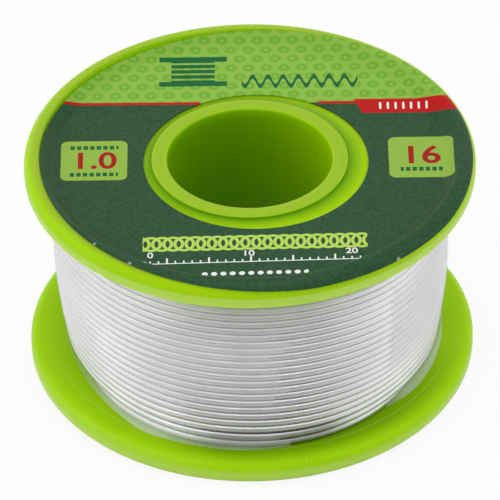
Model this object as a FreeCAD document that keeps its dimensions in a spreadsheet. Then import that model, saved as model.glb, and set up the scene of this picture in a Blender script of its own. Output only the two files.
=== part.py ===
import FreeCAD, Part
import math
import os

import Sketcher
from FreeCAD import Placement, Rotation, Vector

# Solder wire spool: a one-piece plastic spool, the wire wound on it, the round label on its top face
# and the clear film round the winding. Millimetres, +Z up along the bore, origin at the centre of the
# plane that the spool stands on. -Y is the front.

# Driving sizes: name, value, what it measures
sizes = [
    ("flange_radius", 27.5, "outside of both flanges"),
    ("spool_height", 30.4, "over both rims"),
    ("rim_thickness", 3.65, "rim bead along the axis"),
    ("rim_width", 2.15, "rim bead across, at its foot"),
    ("rim_draft", 0.25, "lean of the bead's inner side"),
    ("rim_round", 1.6, "round on the bead's outer corner at the ends of the spool"),
    ("inner_round", 1.25, "round on the bead's corner beside the winding"),
    ("crest_bevel", 0.12, "bevel on the bead's inner corner"),
    ("web_thickness", 2.1, "flange between the bead and the barrel"),
    ("bore_radius", 10.05, "bore for the spindle"),
    ("bore_wall", 1.95, "wall of the tube round the bore"),
    ("collar_rise", 0.4, "how far that tube stands out of the webs"),
    ("barrel_radius", 19.8, "outside of the barrel under the wire"),
    ("barrel_wall", 2.4, "wall of the barrel"),
    ("rib_thickness", 1.5, "ribs between the bore tube and the barrel"),
    ("rib_count", 6, "ribs round the bore tube"),
    ("wire_diameter", 1.0, "solder wire"),
    ("layer_count", 5, "layers of wire on the barrel"),
    ("turn_spacing", 1.0, "least spacing of the turns in the outer layer"),
    ("turn_gap", 0.42, "gap kept between the drawn turns"),
    ("tail_radius", 1.0, "bend where the wire dives into the layer below"),
    ("wire_play", 0.12, "between the wire and what it lies on"),
    ("label_margin", 1.35, "how much smaller the label's radius is than the flange's"),
    ("label_hole", 13.7, "radius of the hole in the label"),
    ("label_shift", 0.8, "how far the label is stuck off centre, towards +X"),
    ("label_forward", 0.5, "how far it is stuck off centre, towards the front"),
    ("label_paper", 0.12, "thickness of the label"),
    ("label_sag", 1.0, "how far inside the bead's foot the label starts to climb"),
    ("glue_gap", 0.03, "between the label and the spool"),
    ("film_skin", 0.1, "thickness of the film"),
    ("film_gap", 0.06, "between the film and what it lies on"),
    ("film_margin", 2.4, "bare winding left above the film"),
    ("film_foot", 0.6, "how far the film's lower edge flares over the flange"),
    ("film_bend", 1.0, "height over which the film flares"),
    ("film_opening", 35.0, "degrees between the two ends of the film"),
    ("film_front", -64.5, "where that opening faces, in degrees from +X"),
]

doc = FreeCAD.newDocument("SolderWireSpool")
sheet = doc.addObject("Spreadsheet::Sheet", "Sizes")
for row, (alias, amount, meaning) in enumerate(sizes, start=1):
    sheet.set(f"A{row}", alias)
    sheet.set(f"B{row}", str(amount))
    sheet.setAlias(f"B{row}", alias)
    sheet.set(f"C{row}", meaning)
doc.recompute()


def cell(alias):
    # The name of a size as an expression uses it
    return f"Sizes.{alias}"


def number(expression):
    # What an expression on the sheet is worth now
    return float(sheet.evalExpression(str(expression)))


# Chords in each quarter round of the rims, and the most of the bead that its rounds and bevel may take
round_steps = 3
round_share = 0.45
bevel_share = 0.1

# Room on each side of the wire's end in its slot
slot_clearance = 0.1

# Heights and radii that more than one piece shares, as expressions
top = cell("spool_height")
low_inside = cell("rim_thickness")
top_inside = f"({top} - {low_inside})"
low_web = f"({low_inside} - {cell('web_thickness')})"
top_web = f"({top} - {low_web})"
low_collar = f"({low_web} - {cell('collar_rise')})"
top_collar = f"({top_web} + {cell('collar_rise')})"
rim_foot = f"({cell('flange_radius')} - {cell('rim_width')})"
rim_crest = f"({rim_foot} + {cell('rim_draft')})"
tube_outside = f"({cell('bore_radius')} + {cell('bore_wall')})"
barrel_inside = f"({cell('barrel_radius')} - {cell('barrel_wall')})"

# Round wires of neighbouring layers nest, so a layer adds the height of a triangle of wires
nesting = math.sin(math.radians(60))
winding_radius = (
    f"({cell('barrel_radius')} + {cell('wire_diameter')}"
    f" * (1 + {nesting:.4f} * ({cell('layer_count')} - 1)))"
)
winding_travel = f"({top_inside} - {low_inside} - {cell('wire_diameter')})"
turn_count = f"floor({winding_travel} / {cell('turn_spacing')})"
turn_pitch = f"({winding_travel} / {turn_count})"
drawn_wire = f"({turn_pitch} - {cell('turn_gap')})"
turn_radius = f"({winding_radius} - {math.cos(math.radians(30)):.4f} * {drawn_wire} / 2)"
core_radius = f"({turn_radius} - {cell('wire_play')})"


def new_body(label):
    body = doc.addObject("PartDesign::Body", "".join(word.capitalize() for word in label.split("_")))
    body.Label = label
    return body


def origin_of(body, role):
    return next(feature for feature in body.Origin.OriginFeatures if feature.Role == role)


def sketch_on(body, name, role):
    sketch = body.newObject("Sketcher::SketchObject", name)
    sketch.AttachmentSupport = [(origin_of(body, role), "")]
    sketch.MapMode = "FlatFace"
    return sketch


def hold(sketch, kind, edge, point, expression):
    # One dimension from the sketch's origin to a point, tied to the sheet
    index = sketch.addConstraint(
        Sketcher.Constraint(kind, -1, 1, edge, point, number(expression))
    )
    sketch.setExpression(f"Constraints[{index}]", expression)


def outline(sketch, corners):
    # A closed outline of straight edges, each corner held across and up from the origin
    places = [Vector(number(across), number(up), 0) for across, up in corners]
    count = len(corners)
    for index in range(count):
        sketch.addGeometry(Part.LineSegment(places[index], places[(index + 1) % count]), False)
    for index in range(count):
        sketch.addConstraint(Sketcher.Constraint("Coincident", index, 2, (index + 1) % count, 1))
    for index, (across, up) in enumerate(corners):
        hold(sketch, "DistanceX", index, 1, across)
        if up == "0":
            sketch.addConstraint(Sketcher.Constraint("PointOnObject", index, 1, -1))
        else:
            hold(sketch, "DistanceY", index, 1, up)


def ring(sketch, across, radius):
    # A circle whose centre lies on the sketch's first axis
    centre = Vector(number(across), 0, 0)
    edge = sketch.addGeometry(Part.Circle(centre, Vector(0, 0, 1), number(radius)), False)
    sketch.addConstraint(Sketcher.Constraint("PointOnObject", edge, 3, -1))
    hold(sketch, "DistanceX", edge, 3, across)
    index = sketch.addConstraint(Sketcher.Constraint("Radius", edge, number(radius)))
    sketch.setExpression(f"Constraints[{index}]", radius)


def turned(body, name, corners, middle="0", angle="360"):
    # A profile in a plane through the axis, at the middle's angle from +X, turned evenly both ways
    sketch = sketch_on(body, f"{name}Profile", "XZ_Plane")
    sketch.AttachmentOffset = Placement(Vector(), Rotation(Vector(0, 1, 0), number(middle)))
    outline(sketch, corners)
    solid = body.newObject("PartDesign::Revolution", name)
    solid.Profile = sketch
    solid.ReferenceAxis = (sketch, ["V_Axis"])
    solid.Midplane = True
    solid.Angle = number(angle)
    solid.setExpression("Angle", angle)
    body.Tip = solid
    doc.recompute()
    return solid


def rounded(across, up, radius, start):
    # The points of a quarter round on the outer corner (across, up), from the start angle onwards
    centre_up = f"({up} + {radius})" if start < 0 else f"({up} - {radius})"
    points = []
    for step in range(round_steps + 1):
        angle = math.radians(start + 90 * step / round_steps)
        points.append((
            f"({across} - {radius} * {1 - math.cos(angle):.5f})",
            f"({centre_up} + {radius} * {math.sin(angle):.5f})",
        ))
    return points


def pad(body, name, sketch, length):
    solid = body.newObject("PartDesign::Pad", name)
    solid.Profile = sketch
    solid.Length = number(length)
    solid.setExpression("Length", length)
    body.Tip = solid
    doc.recompute()
    return solid


def cut_through(body, name, sketch):
    # Cuts the sketch through the whole body, both ways
    cut = body.newObject("PartDesign::Pocket", name)
    cut.Profile = sketch
    cut.Type = "ThroughAll"
    cut.Midplane = True
    body.Tip = cut
    doc.recompute()
    return cut


# Spool: bore tube, barrel and both flanges in one moulding. Its tool opened in the winding space
# along one plane through the axis, and a core from below left the pockets between the ribs.
spool = new_body("spool")
rim = cell("flange_radius")
rim_round = f"min({cell('rim_round')}; {round_share} * {low_inside})"
inner_round = f"min({cell('inner_round')}; {round_share} * {low_inside})"
bevel = f"min({cell('crest_bevel')}; {bevel_share} * {cell('rim_width')})"
turned(spool, "Moulding", [
    (cell("bore_radius"), low_collar),
    (tube_outside, low_collar),
    (tube_outside, top_inside),
    (barrel_inside, top_inside),
    (barrel_inside, low_web),
    (rim_foot, low_web),
    (rim_crest, bevel),
    (f"({rim_crest} + {bevel})", "0"),
    *[(across, up if index else "0")
      for index, (across, up) in enumerate(rounded(rim, "0", rim_round, -90))],
    *rounded(rim, low_inside, inner_round, 0),
    (cell("barrel_radius"), low_inside),
    (cell("barrel_radius"), top_inside),
    *rounded(rim, top_inside, inner_round, -90),
    *rounded(rim, top, rim_round, 0),
    (f"({rim_crest} + {bevel})", top),
    (rim_crest, f"({top} - {bevel})"),
    (rim_foot, top_web),
    (tube_outside, top_web),
    (tube_outside, top_collar),
    (cell("bore_radius"), top_collar),
])

# Ribs, level with the lower web and running up into the upper one
rib_sketch = sketch_on(spool, "RibOutline", "XY_Plane")
rib_sketch.AttachmentOffset = Placement(Vector(0, 0, number(low_web)), Rotation())
rib_sketch.setExpression(".AttachmentOffset.Base.z", low_web)
rib_start = f"({tube_outside} - {cell('bore_wall')} / 2)"
rib_end = f"({barrel_inside} + {cell('barrel_wall')} / 2)"
half_rib = f"({cell('rib_thickness')} / 2)"
outline(rib_sketch, [
    (rib_start, f"-{half_rib}"),
    (rib_end, f"-{half_rib}"),
    (rib_end, half_rib),
    (rib_start, half_rib),
])
rib = pad(spool, "Rib", rib_sketch, f"({top_inside} - {low_web} + {cell('web_thickness')} / 2)")
ribs = spool.newObject("PartDesign::PolarPattern", "Ribs")
ribs.Originals = [rib]
ribs.Axis = (origin_of(spool, "Z_Axis"), [""])
ribs.Angle = 360
ribs.setExpression("Occurrences", cell("rib_count"))
spool.Tip = ribs
doc.recompute()

# Inner layers of the wire: one plain ring between the flanges, with the slot into which the outer
# layer's upper end dives at the back
inner_layers = new_body("wire_inner_layers")
ring_low = f"({low_inside} + {cell('wire_play')})"
ring_high = f"({top_inside} - {cell('wire_play')})"
ring_inside = f"({cell('barrel_radius')} + {cell('wire_play')})"
turned(inner_layers, "Layers", [
    (ring_inside, ring_low),
    (core_radius, ring_low),
    (core_radius, ring_high),
    (ring_inside, ring_high),
])

# Outer layer of the wire: one unbroken tube, wound in half turns that are two arcs each. Its section
# is the outer half of a hexagon, whose flat lies on the layer below.
wire = number(drawn_wire)
winding_path_radius = number(turn_radius)
pitch = number(turn_pitch)
turns = int(number(turn_count))
first_height = number(low_inside) + number(cell("wire_diameter")) / 2
bend = number(cell("tail_radius"))
start_angle = math.pi / 2


def on_helix(angle):
    # Point and direction of the wire's centre line, angle counted from the lower end at the back
    around = start_angle + angle
    place = Vector(
        winding_path_radius * math.cos(around),
        winding_path_radius * math.sin(around),
        first_height + pitch * angle / (2 * math.pi),
    )
    heading = Vector(
        -winding_path_radius * math.sin(around),
        winding_path_radius * math.cos(around),
        pitch / (2 * math.pi),
    )
    return place, heading.normalize()


def arc_to(start, corner, end):
    # The arc from start to end whose tangents meet at corner
    middle = (start + end) * 0.5
    half_chord = (end - start).Length / 2
    height = (corner - middle).Length
    radius = half_chord * (corner - start).Length / height
    sagitta = radius - math.sqrt(radius * radius - half_chord * half_chord)
    crown = middle + (corner - middle) * (sagitta / height)
    return Part.Arc(start, crown, end).toShape(), radius


def two_arcs(start, heading, end, end_heading):
    # Two arcs that leave start along heading and arrive at end along end_heading
    across = end - start
    both = heading + end_heading
    a = both.dot(both) - 4
    b = -2 * across.dot(both)
    c = across.dot(across)
    reach = (-b - math.sqrt(b * b - 4 * a * c)) / (2 * a)
    corner = start + heading * reach
    end_corner = end - end_heading * reach
    joint = (corner + end_corner) * 0.5
    return arc_to(start, corner, joint), arc_to(joint, end_corner, end)


edges = []
radii = []
place, heading = on_helix(0)
tail_start = place - heading * wire
edges.append(Part.LineSegment(tail_start, place).toShape())
for half_turn in range(2 * turns):
    begin, begin_heading = on_helix(math.pi * half_turn)
    finish, finish_heading = on_helix(math.pi * (half_turn + 1))
    for arc, radius in two_arcs(begin, begin_heading, finish, finish_heading):
        edges.append(arc)
        radii.append(radius)
place, heading = on_helix(2 * math.pi * turns)
outward = Vector(math.cos(start_angle), math.sin(start_angle), 0)
dive = place + heading * bend - outward * bend
arc, radius = arc_to(place, place + heading * bend, dive)
edges.append(arc)
radii.append(radius)
wire_end = dive - outward * wire
edges.append(Part.LineSegment(dive, wire_end).toShape())
path = Part.Wire(edges)

start_heading = on_helix(0)[1]
rise = start_heading.cross(outward)
section_corners = []
for degrees in (-90, -30, 30, 90):
    turn = math.radians(degrees)
    offset = outward * math.cos(turn) + rise * math.sin(turn)
    section_corners.append(tail_start + offset * (wire / 2))
section = Part.makePolygon(section_corners + [section_corners[0]])
tube = path.makePipeShell([section], True, False)
outer_layer = doc.addObject("Part::Feature", "WireOuterLayer")
outer_layer.Shape = tube
outer_layer.Placement = Placement()
outer_layer.Label = "wire_outer_layer"

# Slot for that end, clear of the bend on all sides and met by the end's own face
slot_sketch = sketch_on(inner_layers, "SlotOutline", "XY_Plane")
last_height = f"({top_inside} - {cell('wire_diameter')} / 2)"
slot_height = f"({drawn_wire} + 2 * {slot_clearance})"
slot_floor = f"({turn_radius} - {cell('tail_radius')} - {drawn_wire})"
slot_left = f"({cell('tail_radius')} + {drawn_wire} / 2 + {slot_clearance})"
slot_sketch.setExpression(".AttachmentOffset.Base.z", last_height)
outline(slot_sketch, [
    (f"-{slot_left}", slot_floor),
    (drawn_wire, slot_floor),
    (drawn_wire, f"({core_radius} + {drawn_wire})"),
    (f"-{slot_left}", f"({core_radius} + {drawn_wire})"),
])
slot = inner_layers.newObject("PartDesign::Pocket", "WireSlot")
slot.Profile = slot_sketch
slot.Midplane = True
slot.setExpression("Length", slot_height)
inner_layers.Tip = slot
doc.recompute()

# Label: paper that lies on the upper web, climbs the bead and is stuck off centre, so that it ends
# on the bead's crest on the left and bends over its outer round on the right and at the front
label = new_body("top_label")
paper = cell("label_paper")
glue = cell("glue_gap")
band_start = f"({tube_outside} + {glue})"
fold_start = f"({rim_foot} - {cell('label_sag')})"
climb_end = f"({rim_crest} + {bevel} - {glue})"


def paper_face(offset):
    # One face of the paper, this far over the web and the bead's crest and outside its round
    over_round = rounded(f"({rim} + {offset})", f"({top} + {offset})", f"({rim_round} + {offset})", 0)
    return [
        (band_start, f"({top_web} + {offset})"),
        (fold_start, f"({top_web} + {offset})"),
        (climb_end, f"({top} + {offset})"),
        *reversed(over_round[1:]),
    ]


def off_centre(sketch):
    # Moves a sketch of the label forwards. The circles in it are off centre along its first axis.
    sketch.setExpression(".AttachmentOffset.Base.y", f"-{cell('label_forward')}")


turned(label, "Paper", paper_face(glue) + paper_face(f"({glue} + {paper})")[::-1])
hole_sketch = sketch_on(label, "HoleOutline", "XY_Plane")
off_centre(hole_sketch)
ring(hole_sketch, cell("label_shift"), cell("label_hole"))
cut_through(label, "Hole", hole_sketch)
label_radius = f"({rim} - {cell('label_margin')})"
edge_sketch = sketch_on(label, "EdgeOutline", "XY_Plane")
off_centre(edge_sketch)
ring(edge_sketch, cell("label_shift"), label_radius)
ring(edge_sketch, cell("label_shift"), f"({label_radius} + {rim})")
cut_through(label, "Edge", edge_sketch)

# Film: a thin clear strip once round the winding, open at the front, whose lower edge flares out
# over the flange
film = new_body("clear_film")
film_inside = f"({winding_radius} + {cell('film_gap')})"
film_outside = f"({film_inside} + {cell('film_skin')})"
film_low = f"({low_inside} + {cell('film_gap')})"
film_high = f"({top_inside} - {cell('film_margin')})"
flare_start = f"({film_low} + {cell('film_bend')})"
turned(
    film,
    "Strip",
    [
        (film_inside, film_high),
        (film_inside, flare_start),
        (f"({film_inside} + {cell('film_foot')})", film_low),
        (f"({film_outside} + {cell('film_foot')})", film_low),
        (film_outside, flare_start),
        (film_outside, film_high),
    ],
    middle=f"({cell('film_front')} + 180)",
    angle=f"(360 - {cell('film_opening')})",
)

doc.recompute()

# Facts that the winding has to keep, measured at points along its centre line
point_spacing = 0.5
point_stride = 7
points = path.discretize(Distance=point_spacing)
steps = len(points)
per_turn = int(round(2 * math.pi * winding_path_radius / point_spacing))
nearest = min(
    points[index].distanceToPoint(points[other])
    for index in range(0, steps, point_stride)
    for other in range(index + per_turn // 2, min(steps, index + per_turn + per_turn // 2))
)
section_area = Part.Face(section).Area
print(f"winding: {turns} turns of {wire:.3f} mm wire, {len(edges)} edges, {path.Length:.1f} mm long")
print(f"winding: smallest bend {min(radii):.2f} mm, least gap to itself {nearest - wire:.3f} mm")
print(f"winding: volume {tube.Volume:.2f}, section times length {section_area * path.Length:.2f}")

pieces = [spool, inner_layers, outer_layer, label, film]
for thing in doc.Objects:
    if "Invalid" in thing.State or "Error" in thing.State:
        raise RuntimeError(f"{thing.Name} failed: {thing.State}")
os.makedirs("parts", exist_ok=True)
for piece in pieces:
    shape = piece.Shape
    if shape.isNull() or not shape.isValid():
        raise RuntimeError(f"{piece.Label} is not a valid solid")
    shape.exportStep(f"parts/{piece.Label}.step")
    print(f"{piece.Label}: {len(shape.Solids)} solid, {shape.Volume:.2f} mm3")
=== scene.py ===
import bpy
import math
import random
from mathutils import Matrix, Vector


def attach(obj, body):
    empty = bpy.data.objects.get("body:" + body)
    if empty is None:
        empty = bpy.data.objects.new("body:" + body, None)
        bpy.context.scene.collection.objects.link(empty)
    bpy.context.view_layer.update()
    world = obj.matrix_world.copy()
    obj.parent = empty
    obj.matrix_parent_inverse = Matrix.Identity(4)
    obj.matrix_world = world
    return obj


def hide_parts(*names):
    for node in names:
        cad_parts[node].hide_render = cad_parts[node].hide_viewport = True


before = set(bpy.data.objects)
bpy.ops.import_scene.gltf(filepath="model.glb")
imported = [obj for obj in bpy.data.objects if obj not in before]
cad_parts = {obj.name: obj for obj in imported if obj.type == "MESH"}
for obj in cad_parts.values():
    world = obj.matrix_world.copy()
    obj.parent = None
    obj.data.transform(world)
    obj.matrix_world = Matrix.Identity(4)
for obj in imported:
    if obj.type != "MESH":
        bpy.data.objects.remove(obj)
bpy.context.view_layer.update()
mm = 0.001
print("frame loaded")


# Camera and studio
studio = {
    "cameraPlace": (-0.117, -542.77, 431.06),  # mm
    "cameraTilt": 0.654,                       # radians below the horizon
    "cameraRoll": -0.013, "cameraLens": 399.7, "sensorWidth": 36,
    # Each lamp's place and size in metres, and its power in watts
    "topLamp": ((0.0, -0.12, 0.85), 0.55, 2.2),
    "leftLamp": ((-0.8, -0.25, 0.5), 0.88, 1.85),
    "rightLamp": ((0.8, -0.25, 0.5), 1.2, 1.1),
    # Brightness of the backdrop as a light, and as a mirroring surface sees it
    "worldFront": 0.56, "worldBack": 0.7,
    "mirroredFront": 0.39, "mirroredBack": 1.06, "mirroredAbove": 1.12,
    # The floor, and its brightness to a mirroring surface
    "floorSize": 6, "floorColour": (0.9, 0.9, 0.9, 1), "floorFront": 0.28, "floorBack": 1.04,
}


def makeCamera():
    tilt = Matrix.Rotation(math.pi / 2 - studio["cameraTilt"], 3, "X")
    roll = Matrix.Rotation(studio["cameraRoll"], 3, "Z")
    bpy.ops.object.camera_add(location=Vector(studio["cameraPlace"]) * mm,
                              rotation=(tilt @ roll).to_euler())
    camera = bpy.context.object
    camera.data.lens = studio["cameraLens"]
    camera.data.sensor_width = studio["sensorWidth"]
    bpy.context.scene.camera = camera
    bpy.context.scene.view_settings.view_transform = "Standard"


def softbox(place, size, power):
    bpy.ops.object.light_add(type="AREA", location=place)
    lamp = bpy.context.object
    lamp.data.size = size
    lamp.data.energy = power
    lamp.rotation_euler = (-Vector(place)).to_track_quat("-Z", "Y").to_euler()


class Signal:
    # One value in a node tree. The operators add Math nodes.
    def __init__(self, tree, output):
        self.tree = tree
        self.output = output

    def maths(self, operation, *values, clamp=False):
        made = addNode(self.tree, "ShaderNodeMath", {"operation": operation, "use_clamp": clamp},
                       dict(enumerate(values)))
        return Signal(self.tree, made.outputs[0])

    def __add__(self, other):
        return self.maths("ADD", self, other)

    def __radd__(self, other):
        return self.maths("ADD", other, self)

    def __sub__(self, other):
        return self.maths("SUBTRACT", self, other)

    def __rsub__(self, other):
        return self.maths("SUBTRACT", other, self)

    def __mul__(self, other):
        return self.maths("MULTIPLY", self, other)

    def __rmul__(self, other):
        return self.maths("MULTIPLY", other, self)

    def __truediv__(self, other):
        return self.maths("DIVIDE", self, other)

    def __abs__(self):
        return self.maths("ABSOLUTE", self)

    def atLeast(self, other):
        return self.maths("MAXIMUM", self, other)

    def sine(self):
        return self.maths("SINE", self)

    def root(self):
        return self.maths("SQRT", self)

    def whole(self):
        return self.maths("ROUND", self)

    def clamped(self):
        return self.maths("ADD", self, 0, clamp=True)

    def below(self, edge, soft=0.05):
        # 1 where the value is under the edge, 0 over it, with a soft step
        return self.maths("ADD", (edge - self) / soft, 0.5, clamp=True)

    def above(self, edge, soft=0.05):
        return self.maths("ADD", (self - edge) / soft, 0.5, clamp=True)

    def between(self, low, high):
        return self.above(low) * self.below(high)

    def fromNearest(self, pitch):
        # How far the value lies from the nearest multiple of the pitch, with its sign
        steps = self / pitch
        return (steps - steps.whole()) * pitch


def distance(across, up):
    return (across * across + up * up).root()


def addNode(tree, kind, settings=None, values=None):
    # Any node: its settings first, then its sockets' values or links
    made = tree.nodes.new(kind)
    for name, value in (settings or {}).items():
        setattr(made, name, value)
    for socket, value in (values or {}).items():
        target = made.inputs[socket]
        if isinstance(value, Signal):
            tree.links.new(value.output, target)
        elif isinstance(value, bpy.types.NodeSocket):
            tree.links.new(value, target)
        else:
            target.default_value = value
    return made


def screen(red, green, blue):
    # A colour as a screen shows it, 0 to 255, as a linear one
    shares = [level / 255 for level in (red, green, blue)]
    return tuple(c / 12.92 if c <= 0.04045 else ((c + 0.055) / 1.055) ** 2.4 for c in shares) + (1,)


def blended(tree, share, first, second):
    # The first colour where the share is 0, the second where it is 1
    made = addNode(tree, "ShaderNodeMix", {"data_type": "RGBA"}, {0: share, 6: first, 7: second})
    return made.outputs[2]


def newFinish(name, constants):
    # A material with its shader's constants set, and the object's coordinates in millimetres
    finish = bpy.data.materials.new(name)
    finish.use_nodes = True
    tree = finish.node_tree
    shader = tree.nodes["Principled BSDF"]
    for socket, value in constants.items():
        shader.inputs[socket].default_value = value
    place = addNode(tree, "ShaderNodeTexCoord").outputs["Object"]
    parted = addNode(tree, "ShaderNodeSeparateXYZ", None, {0: place})
    x, y, z = (Signal(tree, parted.outputs[axis]) * 1000 for axis in range(3))
    return finish, tree, shader, place, (x, y, z)


def grain(tree, place, scale, detail=2.0, stretch=(1, 1, 1)):
    # Noise around 0.5
    mapped = addNode(tree, "ShaderNodeMapping", None, {"Vector": place, "Scale": stretch})
    noise = addNode(tree, "ShaderNodeTexNoise", None,
                    {"Vector": mapped.outputs[0], "Scale": scale, "Detail": detail})
    return Signal(tree, noise.outputs[0])


def bumped(tree, shader, height):
    # The height is in millimetres
    bump = addNode(tree, "ShaderNodeBump", None, {"Height": height, "Distance": mm, "Strength": 1.0})
    tree.links.new(bump.outputs[0], shader.inputs["Normal"])


def finishWorld():
    world = bpy.context.scene.world or bpy.data.worlds.new("studioWorld")
    bpy.context.scene.world = world
    world.use_nodes = True
    tree = world.node_tree
    backdrop = tree.nodes["Background"]
    rays = addNode(tree, "ShaderNodeLightPath")
    direction = addNode(tree, "ShaderNodeSeparateXYZ", None,
                        {0: addNode(tree, "ShaderNodeTexCoord").outputs["Generated"]})
    rightwards, backwards, upwards = (Signal(tree, direction.outputs[axis]) for axis in range(3))
    seen, mirrored, clear = (Signal(tree, rays.outputs[name]) for name in
                             ("Is Camera Ray", "Is Glossy Ray", "Is Transmission Ray"))
    s = studio
    lit = s["worldFront"] + (s["worldBack"] - s["worldFront"]) * backwards.above(0.1, 1.4)
    shown = s["mirroredFront"] + (s["mirroredBack"] - s["mirroredFront"]) * backwards.above(-0.35, 0.9)
    # A mirroring surface also sees a wide lamp high in front, fainter at its right
    above = upwards.above(0.58, 0.2) * backwards.below(0.1, 0.5) * (1 - rightwards.above(0.35, 0.6) * 0.7)
    shown = shown + (s["mirroredAbove"] - shown) * above
    strength = lit + (shown - lit) * mirrored
    # Plain white to the camera, also through clear surfaces
    strength = strength + (1 - strength) * (seen + clear).clamped()
    tree.links.new(strength.output, backdrop.inputs["Strength"])
    backdrop.inputs["Color"].default_value = (1, 1, 1, 1)


def makeFloor():
    bpy.ops.object.select_all(action="DESELECT")
    bpy.ops.mesh.primitive_plane_add(size=studio["floorSize"], location=(0, 0, 0))
    floor = bpy.context.object
    floor.name = "studioFloor"
    finish, tree, shader, _, (x, y, _) = newFinish("paleFloor", {
        "Roughness": 0.9, "Specular IOR Level": 0.0, "Base Color": studio["floorColour"],
    })
    # Plain white to the camera; to a mirroring surface, darker in front of the spool than behind it
    rays = addNode(tree, "ShaderNodeLightPath")
    camera, mirrored = (Signal(tree, rays.outputs[name]) for name in ("Is Camera Ray", "Is Glossy Ray"))
    behind = (y + abs(x) * 0.7).above(-20, 50)
    level = studio["floorFront"] + (studio["floorBack"] - studio["floorFront"]) * behind
    glow = addNode(tree, "ShaderNodeEmission", None,
                   {"Color": (1, 1, 1, 1), "Strength": camera + level * (1 - camera)})
    mixed = addNode(tree, "ShaderNodeMixShader", None,
                    {0: (camera + mirrored).clamped() * 0.9, 1: shader.outputs[0], 2: glow.outputs[0]})
    tree.links.new(mixed.outputs[0], tree.nodes["Material Output"].inputs["Surface"])
    floor.data.materials.append(finish)


makeCamera()
for lamp in ("topLamp", "leftLamp", "rightLamp"):
    softbox(*studio[lamp])
finishWorld()
makeFloor()
print("camera, lights and floor made")


def activated(piece):
    bpy.ops.object.select_all(action="DESELECT")
    piece.select_set(True)
    bpy.context.view_layer.objects.active = piece


def smoothed(piece, degrees):
    activated(piece)
    bpy.ops.object.shade_smooth_by_angle(angle=math.radians(degrees))


def applied(piece, kind, settings):
    # Adds a modifier and applies it
    activated(piece)
    modifier = piece.modifiers.new(kind.lower(), kind)
    for name, value in settings.items():
        setattr(modifier, name, value)
    bpy.ops.object.modifier_apply(modifier=modifier.name)


def coated(piece, finish):
    piece.data.materials.clear()
    piece.data.materials.append(finish)


def turnedShell(name, corners, around):
    # A circle pulled through the corners of a profile (radius, height in mm) and closed on itself
    bpy.ops.object.select_all(action="DESELECT")
    radius, height = corners[0]
    bpy.ops.mesh.primitive_circle_add(vertices=around, radius=radius * mm, location=(0, 0, height * mm))
    piece = bpy.context.object
    piece.name = name
    bpy.ops.object.transform_apply(location=True)
    bpy.ops.object.mode_set(mode="EDIT")
    bpy.ops.mesh.select_all(action="SELECT")
    for across, up in corners[1:] + corners[:1]:
        bpy.ops.mesh.extrude_edges_move(TRANSFORM_OT_translate={"value": (0, 0, (up - height) * mm)})
        share = across / radius
        bpy.ops.transform.resize(value=(share, share, 1), center_override=(0, 0, up * mm))
        radius, height = across, up
    bpy.ops.mesh.select_all(action="SELECT")
    bpy.ops.mesh.remove_doubles(threshold=1e-6)
    bpy.ops.mesh.normals_make_consistent(inside=False)
    bpy.ops.mesh.select_all(action="DESELECT")
    bpy.ops.object.mode_set(mode="OBJECT")
    return piece


def roundEdge(piece, radius, height, size, segments):
    # Rounds the edge loop that runs round the piece at this radius and height
    near = 2e-5
    mesh = piece.data
    loop = {v.index for v in mesh.vertices
            if abs(v.co.xy.length - radius * mm) < near and abs(v.co.z - height * mm) < near}
    for edge in mesh.edges:
        edge.select = edge.vertices[0] in loop and edge.vertices[1] in loop
    for face in mesh.polygons:
        face.select = False
    for vertex in mesh.vertices:
        vertex.select = vertex.index in loop
    bpy.ops.object.mode_set(mode="EDIT")
    bpy.ops.mesh.select_mode(type="EDGE")
    bpy.ops.mesh.bevel(offset=size * mm, offset_type="OFFSET", segments=segments, affect="EDGES")
    bpy.ops.mesh.select_all(action="DESELECT")
    bpy.ops.object.mode_set(mode="OBJECT")


# Spool moulding
spool = {
    "flangeRadius": 27.5, "height": 30.4, "beadHeight": 3.65, "beadFoot": 25.35, "beadCrest": 25.6,
    "webLow": 1.55, "boreRadius": 10.05, "tubeRadius": 12.0, "collarRise": 0.4,
    "barrelInside": 17.4, "barrelRadius": 19.8, "around": 192,
    # Roundings
    "beadRound": 1.6, "innerRound": 1.25, "crestRound": 0.25, "footRound": 0.3, "tubeRound": 0.25,
    "boreRound": 0.35, "pocketRound": 0.2, "collarRound": 0.15,
    "ribCount": 6, "ribThickness": 1.5, "ribOverlap": 0.6,
    "lime": screen(168, 216, 2), "limeShade": screen(162, 212, 0), "limePaintedShade": screen(104, 158, 0),
    "limePale": screen(182, 219, 88), "limeUpFacingLight": screen(151, 185, 46), "roughness": 0.33,
    "splitAzimuth": -76.4, "innerLine": 25.0,
}


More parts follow.
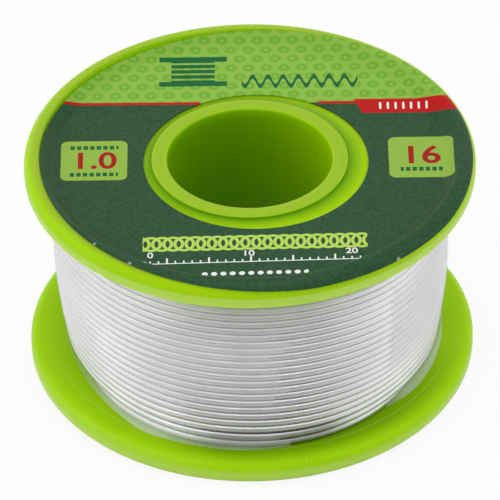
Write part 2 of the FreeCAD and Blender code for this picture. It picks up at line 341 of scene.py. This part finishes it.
def limePlastic():
    s = spool
    finish, tree, shader, place, (x, y, z) = newFinish("limePlastic", {
        "Roughness": s["roughness"], "IOR": 1.22, "Specular IOR Level": 0.25,
        "Subsurface Weight": 0.7, "Subsurface Radius": (0.7, 1.0, 0.06), "Subsurface Scale": 0.003,
    })
    radius = distance(x, y)
    flow = grain(tree, place, 90, 3)
    colour = blended(tree, flow.above(0.5, 0.5), s["lime"], s["limeShade"])

    # Painted shade down the bore, darker at its left and back, and at the collar's foot
    top, webTop, beadHeight = s["height"], s["height"] - s["webLow"], s["beadHeight"]
    boreShade = radius.below(s["boreRadius"] + 0.15, 0.2) * z.below(top - 1, 3.5) * (0.4 - 0.03 * x + 0.04 * y)
    foot = (radius.below(s["tubeRadius"] + 1.1, 1.9) * radius.above(s["tubeRadius"] - 0.03, 0.06)
            * abs(z - webTop).below(0.3, 0.1))
    colour = blended(tree, (boreShade + foot * 0.95).clamped(), colour, s["limePaintedShade"])

    # Deeper on the lower flange too, where the winding shades its front, and least at the left
    fromEdge = s["flangeRadius"] - radius
    lowRim, highRim = z.below(10, 1), z.above(20, 1)
    shaded = fromEdge.above(1.2, 2.4) * z.above(beadHeight - 0.35, 0.3) * lowRim * y.below(-12, 16)
    colour = blended(tree, shaded * (0.8 - 0.65 * x.below(-8, 8)), colour, s["limePaintedShade"])

    # Painted light on the collar and the upper rim, which look up: darker, and paler with the sheen from
    # above
    collar = z.above(webTop + 0.3, 0.2) * radius.below(s["tubeRadius"] + 0.5, 0.2)
    rim = z.above(top - 0.3, 0.5) * fromEdge.below(2.5, 1)
    colour = blended(tree, (collar + rim).clamped() * 0.9, colour, s["limeUpFacingLight"])

    # Painted light from the floor: paler where the rims turn down to the table, a little all round their
    # outside and more on the low rim at the left. Paler too along a fine line inside the low rim
    outside = fromEdge.below(0.35, 0.4)
    under = outside * (z.below(2.1, 0.9) + z.below(top - 1.7, 0.25) * highRim).clamped()
    leftRimLight = outside * (0.03 + 0.25 * x.below(-10, 12) * lowRim)
    innerLine = (abs(radius - s["innerLine"]).below(0.06, 0.08) * z.above(beadHeight - 0.15, 0.1)
                 * lowRim * y.below(-9, 4))
    # Split line of the mould, across both rims on one plane through the axis
    split = math.radians(s["splitAzimuth"])
    fromSplit = abs(abs(x * math.sin(split) - y * math.cos(split)) + 0.12 * (flow - 0.5))
    splitLine = fromSplit.below(0.07, 0.1) * fromEdge.below(0.9, 0.4)
    pale = under + leftRimLight + innerLine * 0.45 + splitLine * 0.3
    colour = blended(tree, pale.clamped(), colour, s["limePale"])
    tree.links.new(colour, shader.inputs["Base Color"])

    fine = grain(tree, place, 900, 2)
    bumped(tree, shader, splitLine * 0.02 + fine * 0.006 + flow * 0.02)
    tree.links.new((s["roughness"] - 0.05 + 0.1 * flow).output, shader.inputs["Roughness"])
    return finish


def makeSpool():
    s = spool
    top, webTop, beadTop = s["height"], s["height"] - s["webLow"], s["height"] - s["beadHeight"]
    low, collarTop = s["webLow"] - s["collarRise"], s["height"] - s["webLow"] + s["collarRise"]
    piece = turnedShell("spoolMoulding", [
        (s["boreRadius"], low), (s["tubeRadius"], low), (s["tubeRadius"], beadTop),
        (s["barrelInside"], beadTop), (s["barrelInside"], s["webLow"]), (s["beadFoot"], s["webLow"]),
        (s["beadCrest"], 0), (s["flangeRadius"], 0), (s["flangeRadius"], s["beadHeight"]),
        (s["barrelRadius"], s["beadHeight"]), (s["barrelRadius"], beadTop),
        (s["flangeRadius"], beadTop), (s["flangeRadius"], top), (s["beadCrest"], top),
        (s["beadFoot"], webTop), (s["tubeRadius"], webTop), (s["tubeRadius"], collarTop),
        (s["boreRadius"], collarTop),
    ], s["around"])
    for radius, height, size, segments in [
        (s["flangeRadius"], 0, s["beadRound"], 8), (s["flangeRadius"], s["beadHeight"], s["innerRound"], 7),
        (s["flangeRadius"], beadTop, s["innerRound"], 7), (s["flangeRadius"], top, s["beadRound"], 8),
        (s["beadCrest"], 0, s["crestRound"], 4), (s["beadCrest"], top, s["crestRound"], 4),
        (s["beadFoot"], s["webLow"], s["footRound"], 3), (s["beadFoot"], webTop, s["footRound"], 3),
        (s["tubeRadius"], collarTop, s["tubeRound"], 4), (s["boreRadius"], collarTop, s["boreRound"], 4),
        (s["tubeRadius"], low, s["tubeRound"], 3), (s["boreRadius"], low, s["boreRound"], 4),
        (s["barrelInside"], s["webLow"], s["pocketRound"], 2),
        (s["tubeRadius"], webTop, s["collarRound"], 2),
    ]:
        roundEdge(piece, radius, height, size, segments)

    # One rib, copied round the bore tube and joined to the moulding, into which its ends and its top reach
    overlap = s["ribOverlap"]
    ribMiddle = (s["tubeRadius"] + s["barrelInside"]) / 2
    ribLength = s["barrelInside"] - s["tubeRadius"] + 2 * overlap
    ribHeight = beadTop - s["webLow"] + overlap
    for number in range(s["ribCount"]):
        angle = 2 * math.pi * number / s["ribCount"]
        bpy.ops.object.select_all(action="DESELECT")
        bpy.ops.mesh.primitive_cube_add(size=1, location=(0, 0, 0))
        rib = bpy.context.object
        rib.scale = (ribLength * mm, s["ribThickness"] * mm, ribHeight * mm)
        rib.rotation_euler = (0, 0, angle)
        rib.location = (ribMiddle * mm * math.cos(angle), ribMiddle * mm * math.sin(angle),
                        (s["webLow"] + ribHeight / 2) * mm)
        bpy.ops.object.transform_apply(location=True, rotation=True, scale=True)
        applied(piece, "BOOLEAN", {"object": rib, "operation": "UNION", "solver": "EXACT"})
        bpy.data.objects.remove(rib)
    smoothed(piece, 28)
    coated(piece, limePlastic())
    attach(piece, "root")
    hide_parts("spool")


makeSpool()
print("spool made")


# Solder winding
winding = {
    "wireRadius": 0.496, "pathRadius": 23.76, "turns": 22, "firstHeight": 4.15, "pitch": 1.0045,
    "lead": 0.5, "lowestPoint": 3.65, "stepsPerTurn": 90, "seed": 11, "wobbleUp": 0.006, "wobbleOut": 0.012,
    "bendSteps": 8, "dive": 0.5, "tail": 1.0,
    # The lowest turn slips under the next one: how deep, and how far from the front, in degrees
    "slip": 0.6, "slipStart": 38, "slipBlend": 34,
    # Drawing in of the lower part: azimuths in degrees, depths and heights in mm
    "frontAzimuth": -92, "sideStart": 15, "sideBlend": 50, "sideDepth": 1.2, "leftMore": 0.15,
    "taperTop": 17, "taperHeight": 12.85,
    # What stands out at the front: all heights, the lowest turns, and the upper part at the right
    "swellAzimuth": -88, "swell": 0.2, "swellWidth": 45,
    "footSwell": 0.22, "footWidth": 20, "footTop": 6.2, "footBlend": 0.8,
    "rightAzimuth": -48, "rightSwell": 0.45, "rightWidth": 18, "rightLow": 2, "rightBlend": 16,
    # Ring under the outer turns: the depths of its grooves, of its crowns and of its upper shoulder,
    # where a crown starts and ends within a pitch, and how far the ring stays under the turns
    "coreRadius": 23.28, "coreLow": 3.77, "coreHigh": 26.63, "coreInside": 19.92, "coreAround": 96,
    "coreGroove": 0.35, "coreCrown": 0.1, "coreShoulder": 1.3, "shoulderHeight": 1.9,
    "crownStart": 0.3, "crownEnd": 0.6, "corePlay": 0.1,
    "solder": (0.8, 0.795, 0.805, 1), "solderDull": (0.74, 0.735, 0.75, 1),
    "solderPaintedShade": (0.34, 0.34, 0.33, 1), "shade": (0.12, 0.1, 0.12, 1), "roughness": 0.24,
}


def solderMetal():
    w = winding
    finish, tree, shader, place, (x, y, z) = newFinish("solderMetal", {})
    cloud = grain(tree, place, 160, 4)
    streak = grain(tree, place, 500, 3, (1, 1, 5))
    colour = blended(tree, cloud.above(0.5, 0.4), w["solder"], w["solderDull"])
    # Painted shade, darker on the lowest turns at the front
    low = z.below(5.9, 0.9) * y.below(-20.5, 4) * abs(x - 2.5).below(8.5, 5)
    colour = blended(tree, low * 0.85, colour, w["solderPaintedShade"])
    # Painted shade in the grooves between turns, low on the front only
    groove = Signal(tree, addNode(tree, "ShaderNodeAttribute", {"attribute_name": "groove"}).outputs["Fac"])
    lowFront = z.below(13, 8) * abs(x).below(10, 8) * y.below(0, 1)
    colour = blended(tree, groove * lowFront * 0.4, colour, w["shade"])
    tree.links.new(colour, shader.inputs["Base Color"])
    # Duller, as if handled, everywhere but low on the front, and most of all at the left
    tree.links.new((0.68 + 0.3 * lowFront - 0.22 * x.below(-6, 8)).output, shader.inputs["Metallic"])
    roughness = w["roughness"] + 0.1 * (cloud - 0.5) + 0.05 * (streak - 0.5) + low * 0.15
    tree.links.new(roughness.output, shader.inputs["Roughness"])
    bumped(tree, shader, streak * 0.001 + cloud * 0.006)
    return finish


def shadedMetal():
    # The layers below lie in the shade of the outer one
    finish, tree, shader, place, _ = newFinish("shadedMetal", {"Metallic": 0.6, "Roughness": 0.7})
    cloud = grain(tree, place, 160, 3)
    colour = blended(tree, cloud, winding["shade"], winding["solderPaintedShade"])
    tree.links.new(colour, shader.inputs["Base Color"])
    return finish


def eased(value):
    # A smooth step from 0 to 1
    share = min(1.0, max(0.0, value))
    return share * share * (3 - 2 * share)


def bell(away, width):
    # 1 in the middle, falling to nothing over a few widths
    return math.exp(-(away / width) ** 2)


def azimuthOf(place):
    return math.degrees(math.atan2(place.y, place.x))


def degreesFrom(middle, azimuth):
    # The short way round, with its sign
    return (azimuth - middle + 180) % 360 - 180


def drawnIn(azimuth, height):
    # How far the winding lies inside its full radius here, in mm: its lower part draws in on both sides,
    # the two lowest turns stand out at the front, and the upper part stands out at the front right
    w = winding
    away = abs(degreesFrom(w["frontAzimuth"], azimuth))
    depth = w["sideDepth"] - w["leftMore"] * math.cos(math.radians(azimuth))
    side = depth * eased((away - w["sideStart"]) / w["sideBlend"])
    taper = max(0.0, (w["taperTop"] - height) / w["taperHeight"]) ** 1.5
    fromSwell = azimuth - w["swellAzimuth"]
    lowest = eased((w["footTop"] - height) / w["footBlend"])
    front = (w["swell"] * bell(fromSwell, w["swellWidth"])
             + w["footSwell"] * bell(fromSwell, w["footWidth"]) * lowest)
    upper = eased((height - w["rightLow"]) / w["rightBlend"])
    right = w["rightSwell"] * bell(azimuth - w["rightAzimuth"], w["rightWidth"]) * upper
    return side * taper - front - right


def windingLine():
    # Points of the wire's middle line, from the lowest turn up
    w = winding
    random.seed(w["seed"])
    swing = [(random.uniform(-1, 1), random.uniform(0, 2 * math.pi)) for _ in range(w["turns"] + 2)]
    points = []
    for step in range(w["turns"] * w["stepsPerTurn"] + 1):
        around = math.pi / 2 - 2 * math.pi * step / w["stepsPerTurn"]
        turnNumber = step / w["stepsPerTurn"]
        amount, phase = swing[int(turnNumber)]
        nextAmount, nextPhase = swing[int(turnNumber) + 1]
        share = turnNumber - int(turnNumber)
        wobble = ((1 - share) * amount * math.sin(around + phase)
                  + share * nextAmount * math.sin(around + nextPhase))
        height = w["firstHeight"] + w["pitch"] * (turnNumber - w["lead"]) + w["wobbleUp"] * wobble
        azimuth = math.degrees(math.atan2(math.sin(around), math.cos(around)))
        radius = w["pathRadius"] + w["wobbleOut"] * wobble - drawnIn(azimuth, height)
        if turnNumber < 1:
            # The lowest turn shows at the front only, and slips under the next on both sides of it
            aside = abs(azimuth - w["frontAzimuth"])
            radius -= w["slip"] * eased((aside - w["slipStart"]) / w["slipBlend"])
        height = max(height, w["lowestPoint"] + w["wireRadius"])
        points.append(Vector((radius * math.cos(around), radius * math.sin(around), height)))
    # Upper end: it bends in and dives into the layers below
    last, before = points[-1], points[-2]
    heading = (last - before).normalized()
    inward = Vector((-last.x, -last.y, 0)).normalized()
    for step in range(1, w["bendSteps"] + 1):
        bend = math.pi / 2 * step / w["bendSteps"]
        points.append(last + heading * math.sin(bend) + inward * (1 - math.cos(bend)))
    points.append(points[-1] + inward * w["dive"])
    # Lower end: a short straight tail
    first, second = points[0], points[1]
    points.insert(0, first - (second - first).normalized() * w["tail"])
    return points


def makeOuterTurns():
    w = winding
    bpy.ops.object.select_all(action="DESELECT")
    points = windingLine()
    bpy.ops.curve.primitive_nurbs_path_add()
    line = bpy.context.object.data
    bpy.context.object.name = "outerTurns"
    line.splines.clear()
    spline = line.splines.new("POLY")
    spline.points.add(len(points) - 1)
    for point, place in zip(spline.points, points):
        point.co = (place.x * mm, place.y * mm, place.z * mm, 1)
    line.bevel_depth = w["wireRadius"] * mm
    line.bevel_resolution = 4
    line.use_fill_caps = True
    line.twist_mode = "Z_UP"
    bpy.ops.object.convert(target="MESH")
    piece = bpy.context.object
    piece.location = (0, 0, 0)
    # How far each point lies in the groove between two turns: 0 on the crown, 1 in the shade
    groove = piece.data.attributes.new("groove", "FLOAT", "POINT")
    ring = len(piece.data.vertices) // len(points)
    for index, vertex in enumerate(piece.data.vertices):
        middle = points[min(index // ring, len(points) - 1)]
        outward = (vertex.co.xy.length / mm - middle.xy.length) / w["wireRadius"]
        upward = (vertex.co.z / mm - middle.z) / w["wireRadius"]
        groove.data[index].value = max(eased((0.5 - outward) / 0.4), eased((-0.35 - upward) / 0.45))
    smoothed(piece, 40)
    coated(piece, solderMetal())
    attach(piece, "root")
    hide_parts("wire_outer_layer")


def makeInnerTurns():
    # The layers below, seen only in the gaps: a core with one groove for each turn
    w = winding
    groove, crown = w["coreRadius"] - w["coreGroove"], w["coreRadius"] - w["coreCrown"]
    shoulder = w["coreRadius"] - w["coreShoulder"]
    corners = [(w["coreInside"], w["coreLow"]), (groove, w["coreLow"])]
    height = w["firstHeight"]
    while height < w["coreHigh"] - w["shoulderHeight"]:
        corners.append((groove, height))
        corners.append((crown, height + w["pitch"] * w["crownStart"]))
        corners.append((crown, height + w["pitch"] * w["crownEnd"]))
        height += w["pitch"]
    corners += [(shoulder, height), (shoulder, w["coreHigh"]), (w["coreInside"], w["coreHigh"])]
    piece = turnedShell("innerTurns", corners, w["coreAround"])
    for vertex in piece.data.vertices:
        radius = vertex.co.xy.length / mm
        if radius > w["coreInside"] + 0.5:
            depth = drawnIn(azimuthOf(vertex.co), vertex.co.z / mm) + w["corePlay"]
            vertex.co.xy *= 1 - depth / radius
    smoothed(piece, 50)
    coated(piece, shadedMetal())
    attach(piece, "root")
    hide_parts("wire_inner_layers")


makeOuterTurns()
makeInnerTurns()
print("winding made")


# Label
label = {
    "holeCentre": (0.75, -0.4), "edgeCentre": (0.8, -0.96), "radius": 26.16, "hole": 13.7,
    "flat": 28.88, "paper": 0.12, "crest": 30.43, "fold": 23.9, "crestStart": 25.72, "shoulder": 25.9,
    "round": 1.63, "reach": 1.5, "easing": 0.35,
    "around": 192, "flatRings": [16, 19, 21.5, 22.68], "bentRings": 30, "bentPitch": 0.12,
    "darkGreen": screen(36, 70, 42), "darkSpeck": screen(50, 84, 57), "lightGreen": screen(138, 184, 70),
    "patternGreen": screen(106, 168, 42), "boxGreen": screen(144, 182, 70), "markGreen": screen(20, 98, 52),
    "titleGreen": screen(178, 214, 92), "red": screen(187, 18, 20), "numberRed": screen(164, 26, 18),
    "white": screen(236, 240, 236), "paperWhite": screen(232, 236, 228),
    "roughness": 0.38, "specular": 0.09,
    # Print, in mm from the bore's axis. A box or a row is left, right, low, high.
    "lineHeight": 11.55, "lineSlope": 0.008, "lineHalf": 0.26, "lineGap": (-6.0, 8.55),
    "ringPitch": 2.2, "ringRise": 1.9, "ringRadius": 0.5, "ringHalf": 0.24,
    "signPlace": (-6.9, 18.3), "signReach": 2.6, "flangeHalf": 4.2, "wireHalf": 2.7, "wirePitch": 1.1,
    "wavePitch": 1.9, "waveHeight": 16.1, "waveRun": (-0.9, 13.5), "lineWeight": 0.5,
    "tagLow": 9.15, "tagHigh": 12.1, "tagStart": 12.9, "tagSlant": 0.35,
    "tickPitch": 0.95, "ticks": (15.6, 22.6, 9.95, 11.35),
    "boxes": [(-23.0, -14.9, -4.0, 4.0), (16.9, 24.8, -4.2, 4.05)], "boxCorner": 0.9, "dashPitch": 0.8,
    "dashes": [(-22.0, -16.0, 2.25, 3.0), (-22.0, -16.0, -3.2, -2.45), (18.3, 23.4, -2.9, -2.1)],
    "loopPitch": 2.65, "loopRadius": 1.12, "loopHeight": -16.75, "loopSlope": 0.016,
    "loopRun": (-12.9, 13.9),
    "scaleFoot": -20.55, "scaleSlope": 0.025, "scaleRun": (-12.7, 13.4), "scaleLine": 0.15,
    # Marks of the scale: pitch, half their width, height
    "scaleMarks": [(1, 0.09, 0.6), (5, 0.11, 1.1)],
    "dotPitch": 1.1, "dotHeight": -22.7, "dotRadius": 0.36, "dotRun": (-6.2, 6.8),
    # Nicks in the edge: x, y, radius
    "nicks": [(-18.6, -18.6, 0.2), (-14.4, -22.4, 0.22), (17.6, -21.3, 0.3)],
    # Plain numbers: x, y, height. Their weight is a share of their height.
    "numberWeight": 0.018, "numberDepth": 0.006, "numberGap": 0.004,
    "boxNumbers": [("1.0", -18.95, -1.55, 4.6), ("16", 20.85, -1.25, 4.9)],
    "scaleNumbers": [("0", -12.0, -19.6, 1.5), ("10", -0.3, -19.35, 1.5), ("20", 12.0, -19.1, 1.5)],
}


def labelHeight(x, y):
    # Underside of the paper here. Its edge is too wide for the flange and climbs the bead.
    m = label
    radius = math.hypot(x, y)
    if radius < m["fold"]:
        return m["flat"]
    if radius < m["crestStart"]:
        share = (radius - m["fold"]) / (m["crestStart"] - m["fold"])
        climbed = m["easing"] * eased(share) + (1 - m["easing"]) * share
        return m["flat"] + (m["crest"] - m["flat"]) * climbed
    if radius < m["shoulder"]:
        return m["crest"]
    over = min(radius - m["shoulder"], m["reach"])
    return m["crest"] - (m["round"] - math.sqrt(m["round"] ** 2 - over ** 2))


def labelPrint():
    m = label
    finish, tree, shader, place, (x, plainY, z) = newFinish("printedPaper", {
        "Specular IOR Level": m["specular"],
    })
    # Where the paper climbs the bead, its print is stretched along the slope
    y = plainY + (z - m["flat"] - m["paper"]).atLeast(0)

    def rectangle(left, right, low, high):
        return x.between(left, right) * y.between(low, high)

    def roundedBox(left, right, low, high):
        corner = m["boxCorner"]
        across = (abs(x - (left + right) / 2) - ((right - left) / 2 - corner)).atLeast(0)
        up = (abs(y - (low + high) / 2) - ((high - low) / 2 - corner)).atLeast(0)
        return distance(across, up).below(corner)

    def stripes(value, pitch, half):
        return abs(value.fromNearest(pitch)).below(half)

    speck = grain(tree, place, 2600, 2)
    colour = blended(tree, speck.above(0.5, 0.35), m["darkGreen"], m["darkSpeck"])

    # Light field over the red line, with staggered rings
    lineHeight = m["lineHeight"] - m["lineSlope"] * x
    row = (y / m["ringRise"]).whole()
    ringX = (x + row.fromNearest(2) * (m["ringPitch"] / 2)).fromNearest(m["ringPitch"])
    ringY = y.fromNearest(m["ringRise"])
    rings = abs(distance(ringX, ringY) - m["ringRadius"]).below(m["ringHalf"], 0.1)
    lightField = blended(tree, rings * 0.8, m["lightGreen"], m["patternGreen"])
    colour = blended(tree, (y - lineHeight).above(0), colour, lightField)

    # Plain sign: a spool from the side, and a wavy line
    signX, signY = abs(x - m["signPlace"][0]), abs(y - m["signPlace"][1])
    flanges = abs(signY - m["signReach"]).below(m["lineWeight"]) * signX.below(m["flangeHalf"])
    wire = signX.below(m["wireHalf"]) * signY.below(m["signReach"]) * stripes(signY, m["wirePitch"], 0.36)
    crest = (x * (2 * math.pi / m["wavePitch"])).sine()
    wave = abs(y - m["waveHeight"] - crest).below(m["lineWeight"]) * x.between(*m["waveRun"])
    colour = blended(tree, (flanges + wire + wave).clamped(), colour, m["markGreen"])

    # Red line and tag, with plain ticks on the tag
    gapStart, gapEnd = m["lineGap"]
    band = abs(y - lineHeight).below(m["lineHalf"]) * (x.below(gapStart) + x.above(gapEnd)).clamped()
    slant = m["tagSlant"] * (m["tagHigh"] - y)
    tag = y.between(m["tagLow"], m["tagHigh"]) * (x - slant).above(m["tagStart"])
    colour = blended(tree, (band + tag).clamped(), colour, m["red"])
    ticks = stripes(x, m["tickPitch"], 0.13) * rectangle(*m["ticks"])
    colour = blended(tree, ticks, colour, m["white"])

    # Two rounded boxes with rows of dashes
    boxes = sum(roundedBox(*box) for box in m["boxes"])
    colour = blended(tree, boxes.clamped(), colour, m["boxGreen"])
    rows = sum(rectangle(*row) for row in m["dashes"])
    dashes = stripes(x, m["dashPitch"], 0.27) * rows.clamped()
    colour = blended(tree, dashes, colour, m["markGreen"])

    # Title band: a row of loops, like a coil from the side
    loopPitch = m["loopPitch"]
    loopUp = (y - m["loopSlope"] * x - m["loopHeight"]) * 0.9

    def loops(shift):
        return abs(distance((x + shift).fromNearest(loopPitch), loopUp) - m["loopRadius"]).below(0.2)

    title = loops(0).atLeast(loops(loopPitch / 2)) * x.between(*m["loopRun"])
    colour = blended(tree, title, colour, m["titleGreen"])

    # Plain ruler scale and a row of dots
    foot = m["scaleFoot"]
    rule = y - m["scaleSlope"] * x
    marks = rule.between(foot, foot + m["scaleLine"])
    for pitch, half, height in m["scaleMarks"]:
        marks = marks + stripes(x, pitch, half) * rule.between(foot, foot + height)
    scale = marks.clamped() * x.between(*m["scaleRun"])
    fromDot = distance(x.fromNearest(m["dotPitch"]), rule - m["dotHeight"])
    dots = fromDot.below(m["dotRadius"]) * x.between(*m["dotRun"])
    colour = blended(tree, (scale + dots).clamped(), colour, m["white"])

    # Bare paper at a few nicks in the cut edge
    wear = grain(tree, place, 300, 3)
    radius = distance(x - m["edgeCentre"][0], plainY - m["edgeCentre"][1])
    nicks = sum((distance(x - nickX, plainY - nickY) + 0.5 * (wear - 0.5)).below(size, 0.12)
                for nickX, nickY, size in m["nicks"])
    nicks = nicks.clamped() * radius.above(m["radius"] - 0.12, 0.08)
    colour = blended(tree, nicks * 0.35, colour, m["paperWhite"])
    tree.links.new(colour, shader.inputs["Base Color"])

    tree.links.new((m["roughness"] + 0.12 * (wear - 0.5)).output, shader.inputs["Roughness"])
    bumped(tree, shader, grain(tree, place, 700, 3) * 0.01 + grain(tree, place, 70, 2) * 0.12)
    return finish


def makeLabel():
    # A ring pulled out from the hole, whose middle drifts from the hole's to the edge's
    m = label
    holeX, holeY = m["holeCentre"]
    bpy.ops.object.select_all(action="DESELECT")
    bpy.ops.mesh.primitive_circle_add(vertices=m["around"], radius=m["hole"] * mm,
                                      location=(holeX * mm, holeY * mm, 0))
    piece = bpy.context.object
    piece.name = "topLabel"
    bpy.ops.object.transform_apply(location=True)
    bpy.ops.object.mode_set(mode="EDIT")
    bpy.ops.mesh.select_all(action="SELECT")
    drift = m["edgeCentre"][1] - holeY
    bentStart = m["flatRings"][-1]
    rings = m["flatRings"] + [bentStart + m["bentPitch"] * step for step in range(1, m["bentRings"] + 1)]
    radius, moved = m["hole"], 0
    for across in rings:
        bpy.ops.mesh.extrude_edges_move()
        share = across / radius
        bpy.ops.transform.resize(value=(share, share, 1),
                                 center_override=(holeX * mm, (holeY + moved) * mm, 0))
        wanted = drift * (across - m["hole"]) / (m["radius"] - m["hole"])
        bpy.ops.transform.translate(value=(0, (wanted - moved) * mm, 0))
        radius, moved = across, wanted
    bpy.ops.mesh.select_all(action="SELECT")
    bpy.ops.mesh.normals_make_consistent(inside=False)
    bpy.ops.object.mode_set(mode="OBJECT")
    for vertex in piece.data.vertices:
        vertex.co.z = labelHeight(vertex.co.x / mm, vertex.co.y / mm) * mm
    if piece.data.polygons[0].normal.z < 0:
        piece.data.flip_normals()
    applied(piece, "SOLIDIFY", {"thickness": m["paper"] * mm, "offset": 1.0})
    smoothed(piece, 40)
    coated(piece, labelPrint())
    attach(piece, "root")
    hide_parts("top_label")


def numberInk(name, colour):
    finish, tree, shader, place, _ = newFinish(name, {
        "Roughness": label["roughness"], "Specular IOR Level": label["specular"],
    })
    spots = grain(tree, place, 1500, 2)
    darker = tuple(c * 0.85 for c in colour[:3]) + (1,)
    tree.links.new(blended(tree, spots.above(0.6, 0.3), colour, darker), shader.inputs["Base Color"])
    return finish


def makeNumbers(name, finish):
    # Plain numbers that lie on the print
    m = label
    bottom = m["flat"] + m["paper"] + m["numberGap"]
    made = []
    for words, x, y, height in m[name]:
        bpy.ops.object.select_all(action="DESELECT")
        bpy.ops.object.text_add(location=(x * mm, y * mm, bottom * mm))
        text = bpy.context.object
        text.data.body = words
        text.data.size = height * mm
        text.data.align_x = "CENTER"
        text.data.offset = m["numberWeight"] * height * mm
        text.data.extrude = m["numberDepth"] * mm
        bpy.ops.object.convert(target="MESH")
        bpy.ops.object.transform_apply(location=True, rotation=True, scale=True)
        made.append(bpy.context.object)
    activated(made[0])
    for number in made:
        number.select_set(True)
    bpy.ops.object.join()
    piece = bpy.context.object
    piece.name = name
    coated(piece, finish)
    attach(piece, "root")


makeLabel()
makeNumbers("boxNumbers", numberInk("redInk", label["numberRed"]))
makeNumbers("scaleNumbers", numberInk("whiteInk", label["white"]))
print("label made")


# Clear film
film = {
    "inside": 24.33, "skin": 0.06, "low": 3.73, "high": 24.35, "around": 240, "rings": 26,
    "openStart": -82.0, "openEnd": -47.0, "endBlend": 14,
    # Waves of the ragged end: degrees, and radians per mm of height
    "ragged": [(2.4, 2.1), (1.6, 5.3)],
    # How far the foot stands off, and over what height. It flares at the right and at the left of
    # the front, and is pressed to the wire at the far left: azimuth, width in degrees, mm.
    "flare": 0.35, "bend": 1.2, "flares": [(-38, 22, 0.4), (-122, 9, 0.5), (-165, 18, -0.35)],
    # Creases on the front: start x and z, end x and z, width
    "creases": [(-14.4, 23.0, -13.7, 20.9, 0.12), (-13.6, 19.3, -12.3, 19.7, 0.1)],
}


def clearPlastic():
    finish, tree, shader, place, (x, y, z) = newFinish("clearPlastic", {
        "Base Color": (0.93, 0.93, 0.96, 1), "Roughness": 0.16, "Specular IOR Level": 0.35,
        "Emission Strength": 1.0,
    })
    cloud = grain(tree, place, 75, 3)
    crumple = grain(tree, place, 140, 2, (1, 1, 0.35))
    front = y.below(0, 1)

    def crease(startX, startZ, endX, endZ, width):
        # A short stroke, bent a little by the noise
        runX, runZ = endX - startX, endZ - startZ
        along = (((x - startX) * runX + (z - startZ) * runZ) / (runX * runX + runZ * runZ)).clamped()
        away = distance(x - startX - along * runX, z - startZ - along * runZ)
        return (away + 0.5 * (crumple - 0.5)).below(width, 0.08) * front

    creases = sum(crease(*stroke) for stroke in film["creases"]).clamped()
    # Here the end of the film lies on its own start
    doubled = x.above(-13.4, 4) * z.above(9.5 + 0.05 * x, 3) * z.below(20.8 + 0.08 * x, 2.5) * front
    haze = doubled * (0.07 + cloud.above(0.5, 0.3) * 0.08)
    # Hazier where it stands off the wire: along its foot, and down the right side
    foot = z.below(5.2, 1.2) * (0.07 + 0.06 * x.above(17, 3) + 0.08 * x.below(-9, 6) * y.below(-14, 6))
    stretched = x.above(22, 3) * z.below(13, 8) * 0.1
    alpha = (0.03 + haze + creases * 0.14 + foot + stretched).clamped()
    tree.links.new(alpha.output, shader.inputs["Alpha"])
    # Painted light: the foot glows a little, standing in for light that comes through it from behind
    tree.links.new((foot * 0.8).output, shader.inputs["Emission Color"])
    bumped(tree, shader, crumple * 0.05 + cloud * 0.05)
    return finish


def makeFilm():
    f = film
    bpy.ops.object.select_all(action="DESELECT")
    bpy.ops.mesh.primitive_circle_add(vertices=f["around"], radius=f["inside"] * mm,
                                      location=(0, 0, f["low"] * mm))
    piece = bpy.context.object
    piece.name = "clearFilm"
    bpy.ops.object.transform_apply(location=True)
    bpy.ops.object.mode_set(mode="EDIT")
    bpy.ops.mesh.select_all(action="SELECT")
    rise = (f["high"] - f["low"]) / f["rings"]
    for _ in range(f["rings"]):
        bpy.ops.mesh.extrude_edges_move(TRANSFORM_OT_translate={"value": (0, 0, rise * mm)})
    bpy.ops.mesh.select_all(action="SELECT")
    bpy.ops.mesh.normals_make_consistent(inside=False)
    bpy.ops.mesh.select_all(action="DESELECT")
    bpy.ops.mesh.select_mode(type="FACE")
    bpy.ops.object.mode_set(mode="OBJECT")
    # The opening at the front, with one ragged end
    for face in piece.data.polygons:
        up = face.center.z / mm
        ragged = sum(reach * math.sin(rate * up) for reach, rate in f["ragged"])
        face.select = f["openStart"] + ragged < azimuthOf(face.center) < f["openEnd"]
    bpy.ops.object.mode_set(mode="EDIT")
    bpy.ops.mesh.delete(type="FACE")
    bpy.ops.object.mode_set(mode="OBJECT")
    # The film follows the winding, and its foot stands off, less and less towards both ends
    for vertex in piece.data.vertices:
        azimuth, height = azimuthOf(vertex.co), vertex.co.z / mm
        flare = f["flare"]
        for middle, width, amount in f["flares"]:
            flare += amount * bell(degreesFrom(middle, azimuth), width)
        fromEnd = min(abs(azimuth - f["openStart"]), abs(azimuth - f["openEnd"]))
        under = max(0.0, 1 - (height - f["low"]) / f["bend"])
        standOff = flare * eased(fromEnd / f["endBlend"]) * under * under
        wanted = f["inside"] + standOff - drawnIn(azimuth, height)
        vertex.co.xy *= wanted / (vertex.co.xy.length / mm)
    if piece.data.polygons[0].normal.dot(piece.data.polygons[0].center) < 0:
        piece.data.flip_normals()
    applied(piece, "SOLIDIFY", {"thickness": f["skin"] * mm, "offset": 1.0})
    smoothed(piece, 40)
    coated(piece, clearPlastic())
    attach(piece, "root")
    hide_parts("clear_film")


makeFilm()
print("film made")
